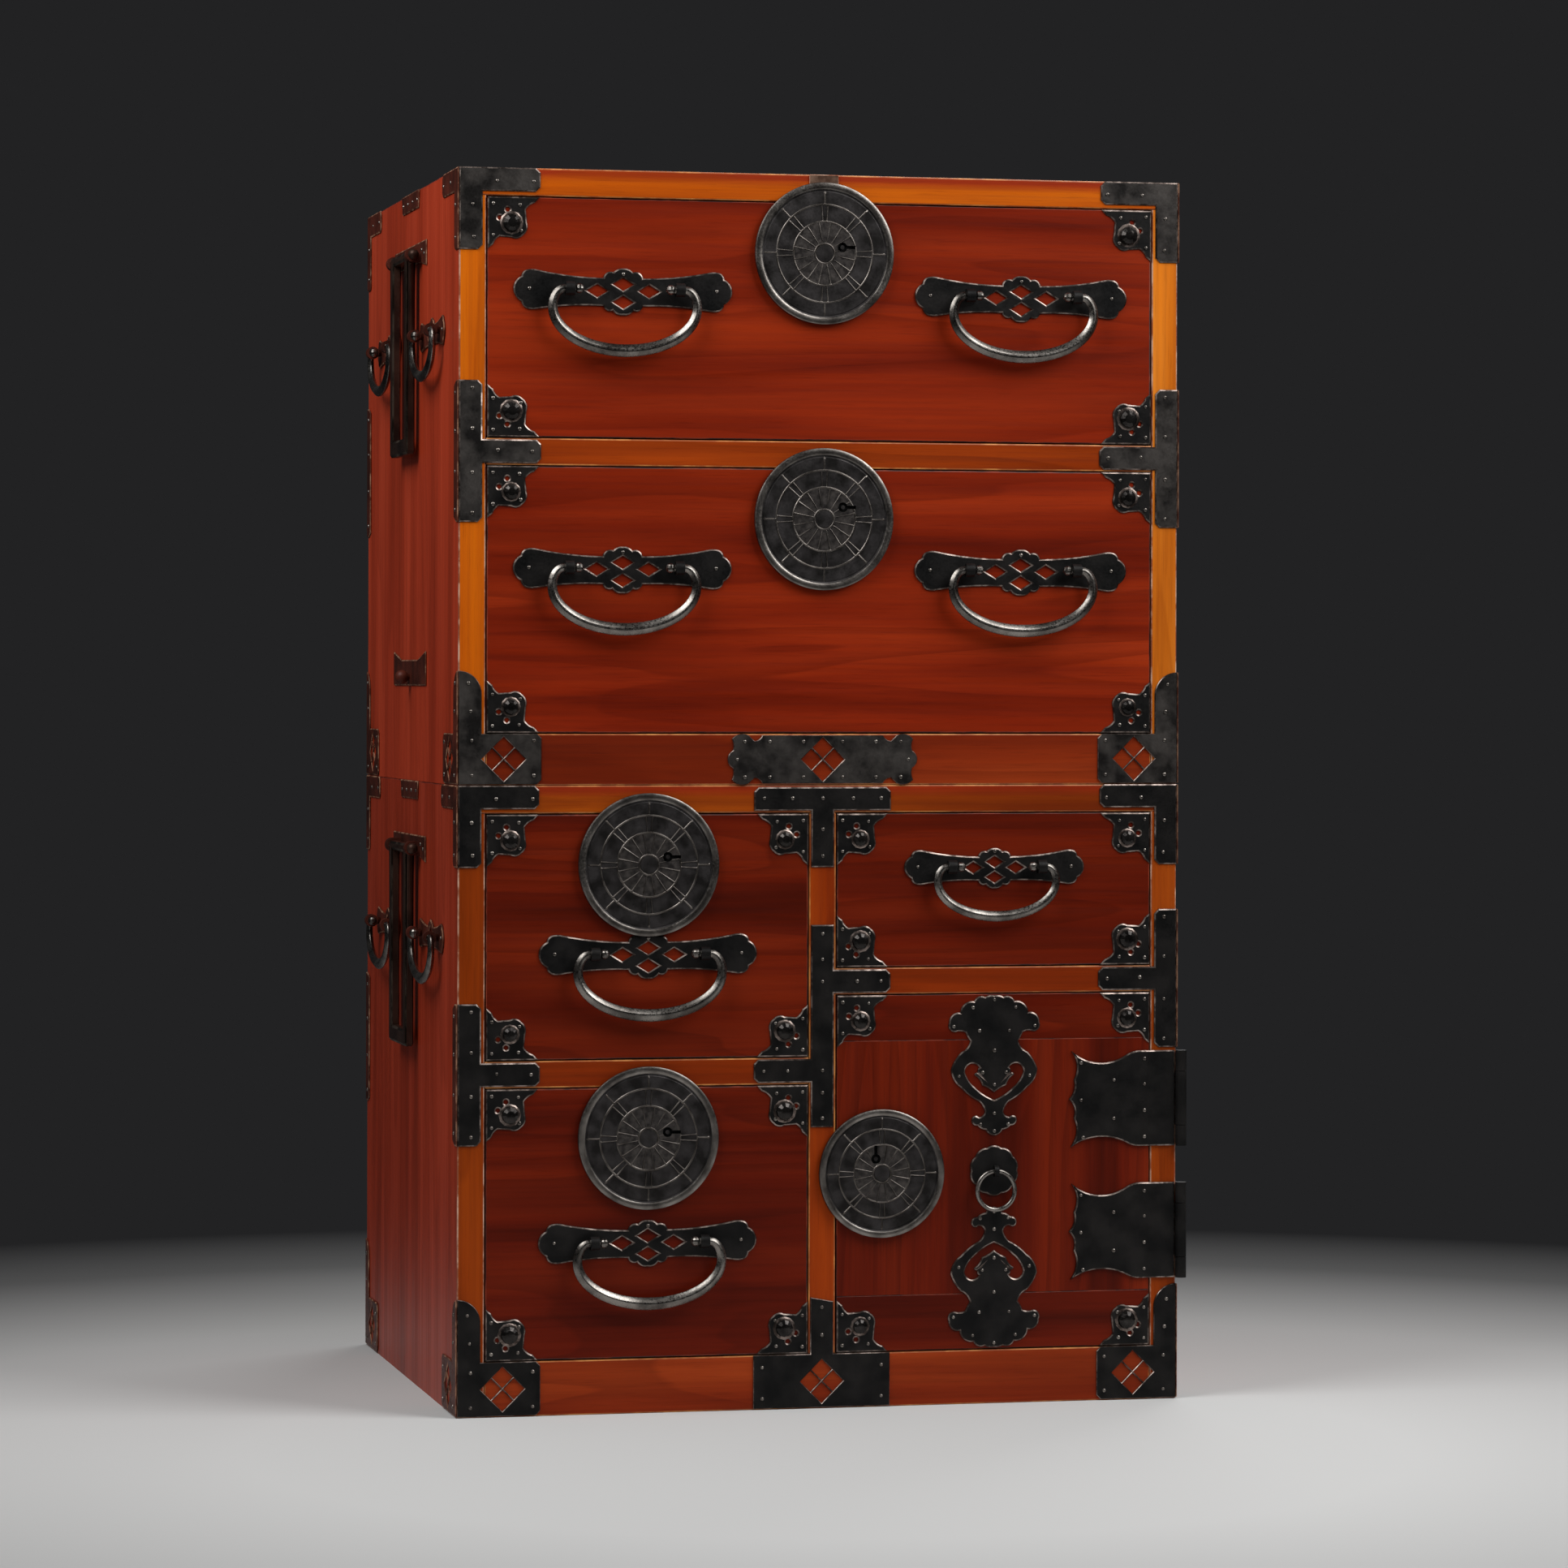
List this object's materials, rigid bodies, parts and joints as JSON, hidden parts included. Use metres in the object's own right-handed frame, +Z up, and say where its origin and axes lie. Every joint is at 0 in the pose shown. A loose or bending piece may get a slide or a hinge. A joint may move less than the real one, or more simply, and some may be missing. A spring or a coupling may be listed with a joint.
{
  "type": "tansu chest",
  "caption": "Stacked two-case wooden clothing chest with drawers, a hinged cupboard door, iron lock plates, drop handles and carrying loops.",
  "frame": {"origin": "on the floor, under the middle of the whole chest's box", "axes": "+Z up, the front faces -Y, +X to the right of someone facing the front"},
  "size_m": [0.697, 0.5644, 1.11],
  "materials": {
    "front_lacquer": "dark red-brown wiped lacquer",
    "frame_lacquer": "worn amber lacquer",
    "side_lacquer": "red lacquer",
    "plain_wood": "bare planed softwood",
    "black_iron": "blackened forged sheet",
    "worn_iron": "forged iron polished by hands",
    "lock_iron": "bare forged iron"
  },
  "bodies": {
    "lower_case": {"lower_left_side": "side_lacquer", "lower_right_side": "side_lacquer", "lower_top_board": "frame_lacquer", "lower_base": "frame_lacquer", "lower_back_panel": "plain_wood", "lower_frame_irons": "black_iron", "lower_side_irons": "black_iron", "lower_partition": "frame_lacquer", "lower_dividers": "frame_lacquer"},
    "upper_case": {"upper_left_side": "side_lacquer", "upper_right_side": "side_lacquer", "upper_top_board": "frame_lacquer", "upper_base": "frame_lacquer", "upper_back_panel": "plain_wood", "upper_frame_irons": "black_iron", "upper_side_irons": "black_iron", "upper_divider": "frame_lacquer"},
    "upper_top_drawer": {"upper_top_drawer_front": "front_lacquer", "upper_top_drawer_box": "plain_wood", "upper_top_drawer_irons": "black_iron"},
    "upper_top_drawer_left_bail": {"upper_top_drawer_left_bail": "worn_iron"},
    "upper_top_drawer_right_bail": {"upper_top_drawer_right_bail": "worn_iron"},
    "upper_top_drawer_lock_bolt": {"upper_top_drawer_lock_bolt": "lock_iron"},
    "upper_low_drawer": {"upper_low_drawer_front": "front_lacquer", "upper_low_drawer_box": "plain_wood", "upper_low_drawer_irons": "black_iron"},
    "upper_low_drawer_left_bail": {"upper_low_drawer_left_bail": "worn_iron"},
    "upper_low_drawer_right_bail": {"upper_low_drawer_right_bail": "worn_iron"},
    "upper_low_drawer_lock_bolt": {"upper_low_drawer_lock_bolt": "lock_iron"},
    "left_top_drawer": {"left_top_drawer_front": "front_lacquer", "left_top_drawer_box": "plain_wood", "left_top_drawer_irons": "black_iron"},
    "left_top_drawer_bail": {"left_top_drawer_bail": "worn_iron"},
    "left_top_drawer_lock_bolt": {"left_top_drawer_lock_bolt": "lock_iron"},
    "left_low_drawer": {"left_low_drawer_front": "front_lacquer", "left_low_drawer_box": "plain_wood", "left_low_drawer_irons": "black_iron"},
    "left_low_drawer_bail": {"left_low_drawer_bail": "worn_iron"},
    "left_low_drawer_lock_bolt": {"left_low_drawer_lock_bolt": "lock_iron"},
    "right_small_drawer": {"right_small_drawer_front": "front_lacquer", "right_small_drawer_box": "plain_wood", "right_small_drawer_irons": "black_iron"},
    "right_small_drawer_bail": {"right_small_drawer_bail": "worn_iron"},
    "door": {"door_panel": "front_lacquer", "door_clamps": "front_lacquer", "door_irons": "black_iron"},
    "door_ring_pull": {"door_ring_pull": "worn_iron"},
    "door_lock_bolt": {"door_lock_bolt": "lock_iron"},
    "lower_left_front_bail": {"lower_left_front_bail": "worn_iron"},
    "lower_left_back_bail": {"lower_left_back_bail": "worn_iron"},
    "lower_left_loop": {"lower_left_loop": "worn_iron"},
    "lower_right_front_bail": {"lower_right_front_bail": "worn_iron"},
    "lower_right_back_bail": {"lower_right_back_bail": "worn_iron"},
    "lower_right_loop": {"lower_right_loop": "worn_iron"},
    "upper_left_front_bail": {"upper_left_front_bail": "worn_iron"},
    "upper_left_back_bail": {"upper_left_back_bail": "worn_iron"},
    "upper_left_loop": {"upper_left_loop": "worn_iron"},
    "upper_right_front_bail": {"upper_right_front_bail": "worn_iron"},
    "upper_right_back_bail": {"upper_right_back_bail": "worn_iron"},
    "upper_right_loop": {"upper_right_loop": "worn_iron"}
  },
  "joints": [
    {"name": "upper_case_lift", "type": "slide", "parent": "lower_case", "child": "upper_case", "axis": [0, 0, 1], "range_m": [0, 0.1]},
    {"name": "upper_top_drawer_slide", "type": "slide", "parent": "upper_case", "child": "upper_top_drawer", "axis": [0, -1, 0], "range_m": [0, 0.36]},
    {"name": "upper_top_drawer_left_bail_swing", "type": "hinge", "parent": "upper_top_drawer", "child": "upper_top_drawer_left_bail", "pos_m": [-0.1839, -0.27675, 1.00306], "axis": [-1, 0, 0], "range_deg": [0, 100]},
    {"name": "upper_top_drawer_right_bail_swing", "type": "hinge", "parent": "upper_top_drawer", "child": "upper_top_drawer_right_bail", "pos_m": [0.1839, -0.27675, 1.00306], "axis": [-1, 0, 0], "range_deg": [0, 100]},
    {"name": "upper_top_drawer_lock_bolt_throw", "type": "slide", "parent": "upper_top_drawer", "child": "upper_top_drawer_lock_bolt", "axis": [0, 0, 1], "range_m": [0, 0.01]},
    {"name": "upper_low_drawer_slide", "type": "slide", "parent": "upper_case", "child": "upper_low_drawer", "axis": [0, -1, 0], "range_m": [0, 0.36]},
    {"name": "upper_low_drawer_left_bail_swing", "type": "hinge", "parent": "upper_low_drawer", "child": "upper_low_drawer_left_bail", "pos_m": [-0.1839, -0.27675, 0.75494], "axis": [-1, 0, 0], "range_deg": [0, 100]},
    {"name": "upper_low_drawer_right_bail_swing", "type": "hinge", "parent": "upper_low_drawer", "child": "upper_low_drawer_right_bail", "pos_m": [0.1839, -0.27675, 0.75494], "axis": [-1, 0, 0], "range_deg": [0, 100]},
    {"name": "upper_low_drawer_lock_bolt_throw", "type": "slide", "parent": "upper_low_drawer", "child": "upper_low_drawer_lock_bolt", "axis": [0, 0, 1], "range_m": [0, 0.01]},
    {"name": "left_top_drawer_slide", "type": "slide", "parent": "lower_case", "child": "left_top_drawer", "axis": [0, -1, 0], "range_m": [0, 0.36]},
    {"name": "left_top_drawer_bail_swing", "type": "hinge", "parent": "left_top_drawer", "child": "left_top_drawer_bail", "pos_m": [-0.15987, -0.27675, 0.41074], "axis": [-1, 0, 0], "range_deg": [0, 100]},
    {"name": "left_top_drawer_lock_bolt_throw", "type": "slide", "parent": "left_top_drawer", "child": "left_top_drawer_lock_bolt", "axis": [0, 0, 1], "range_m": [0, 0.01]},
    {"name": "left_low_drawer_slide", "type": "slide", "parent": "lower_case", "child": "left_low_drawer", "axis": [0, -1, 0], "range_m": [0, 0.36]},
    {"name": "left_low_drawer_bail_swing", "type": "hinge", "parent": "left_low_drawer", "child": "left_low_drawer_bail", "pos_m": [-0.15987, -0.27675, 0.15363], "axis": [-1, 0, 0], "range_deg": [0, 100]},
    {"name": "left_low_drawer_lock_bolt_throw", "type": "slide", "parent": "left_low_drawer", "child": "left_low_drawer_lock_bolt", "axis": [0, 0, 1], "range_m": [0, 0.01]},
    {"name": "right_small_drawer_slide", "type": "slide", "parent": "lower_case", "child": "right_small_drawer", "axis": [0, -1, 0], "range_m": [0, 0.36]},
    {"name": "right_small_drawer_bail_swing", "type": "hinge", "parent": "right_small_drawer", "child": "right_small_drawer_bail", "pos_m": [0.15987, -0.27675, 0.4867], "axis": [-1, 0, 0], "range_deg": [0, 100]},
    {"name": "door_swing", "type": "hinge", "parent": "lower_case", "child": "door", "pos_m": [0.3358, -0.27005, 0.2105], "axis": [0, 0, 1], "range_deg": [0, 180]},
    {"name": "door_ring_swing", "type": "hinge", "parent": "door", "child": "door_ring_pull", "pos_m": [0.16012, -0.27425, 0.21114], "axis": [-1, 0, 0], "range_deg": [0, 90]},
    {"name": "door_lock_bolt_throw", "type": "slide", "parent": "door", "child": "door_lock_bolt", "axis": [-1, 0, 0], "range_m": [0, 0.01]},
    {"name": "lower_left_front_bail_swing", "type": "hinge", "parent": "lower_case", "child": "lower_left_front_bail", "pos_m": [-0.3425, -0.12225, 0.422], "axis": [0, 1, 0], "range_deg": [0, 90]},
    {"name": "lower_left_back_bail_swing", "type": "hinge", "parent": "lower_case", "child": "lower_left_back_bail", "pos_m": [-0.3425, 0.13775, 0.422], "axis": [0, 1, 0], "range_deg": [0, 90]},
    {"name": "lower_left_loop_swing", "type": "hinge", "parent": "lower_case", "child": "lower_left_loop", "pos_m": [-0.3405, 0.00775, 0.499], "axis": [0, 1, 0], "range_deg": [0, 180]},
    {"name": "lower_right_front_bail_swing", "type": "hinge", "parent": "lower_case", "child": "lower_right_front_bail", "pos_m": [0.3425, -0.12225, 0.422], "axis": [0, -1, 0], "range_deg": [0, 90]},
    {"name": "lower_right_back_bail_swing", "type": "hinge", "parent": "lower_case", "child": "lower_right_back_bail", "pos_m": [0.3425, 0.13775, 0.422], "axis": [0, -1, 0], "range_deg": [0, 90]},
    {"name": "lower_right_loop_swing", "type": "hinge", "parent": "lower_case", "child": "lower_right_loop", "pos_m": [0.3405, 0.00775, 0.499], "axis": [0, -1, 0], "range_deg": [0, 180]},
    {"name": "upper_left_front_bail_swing", "type": "hinge", "parent": "upper_case", "child": "upper_left_front_bail", "pos_m": [-0.3425, -0.12225, 0.971], "axis": [0, 1, 0], "range_deg": [0, 90]},
    {"name": "upper_left_back_bail_swing", "type": "hinge", "parent": "upper_case", "child": "upper_left_back_bail", "pos_m": [-0.3425, 0.13775, 0.971], "axis": [0, 1, 0], "range_deg": [0, 90]},
    {"name": "upper_left_loop_swing", "type": "hinge", "parent": "upper_case", "child": "upper_left_loop", "pos_m": [-0.3405, 0.00775, 1.048], "axis": [0, 1, 0], "range_deg": [0, 180]},
    {"name": "upper_right_front_bail_swing", "type": "hinge", "parent": "upper_case", "child": "upper_right_front_bail", "pos_m": [0.3425, -0.12225, 0.971], "axis": [0, -1, 0], "range_deg": [0, 90]},
    {"name": "upper_right_back_bail_swing", "type": "hinge", "parent": "upper_case", "child": "upper_right_back_bail", "pos_m": [0.3425, 0.13775, 0.971], "axis": [0, -1, 0], "range_deg": [0, 90]},
    {"name": "upper_right_loop_swing", "type": "hinge", "parent": "upper_case", "child": "upper_right_loop", "pos_m": [0.3405, 0.00775, 1.048], "axis": [0, -1, 0], "range_deg": [0, 180]}
  ]
}
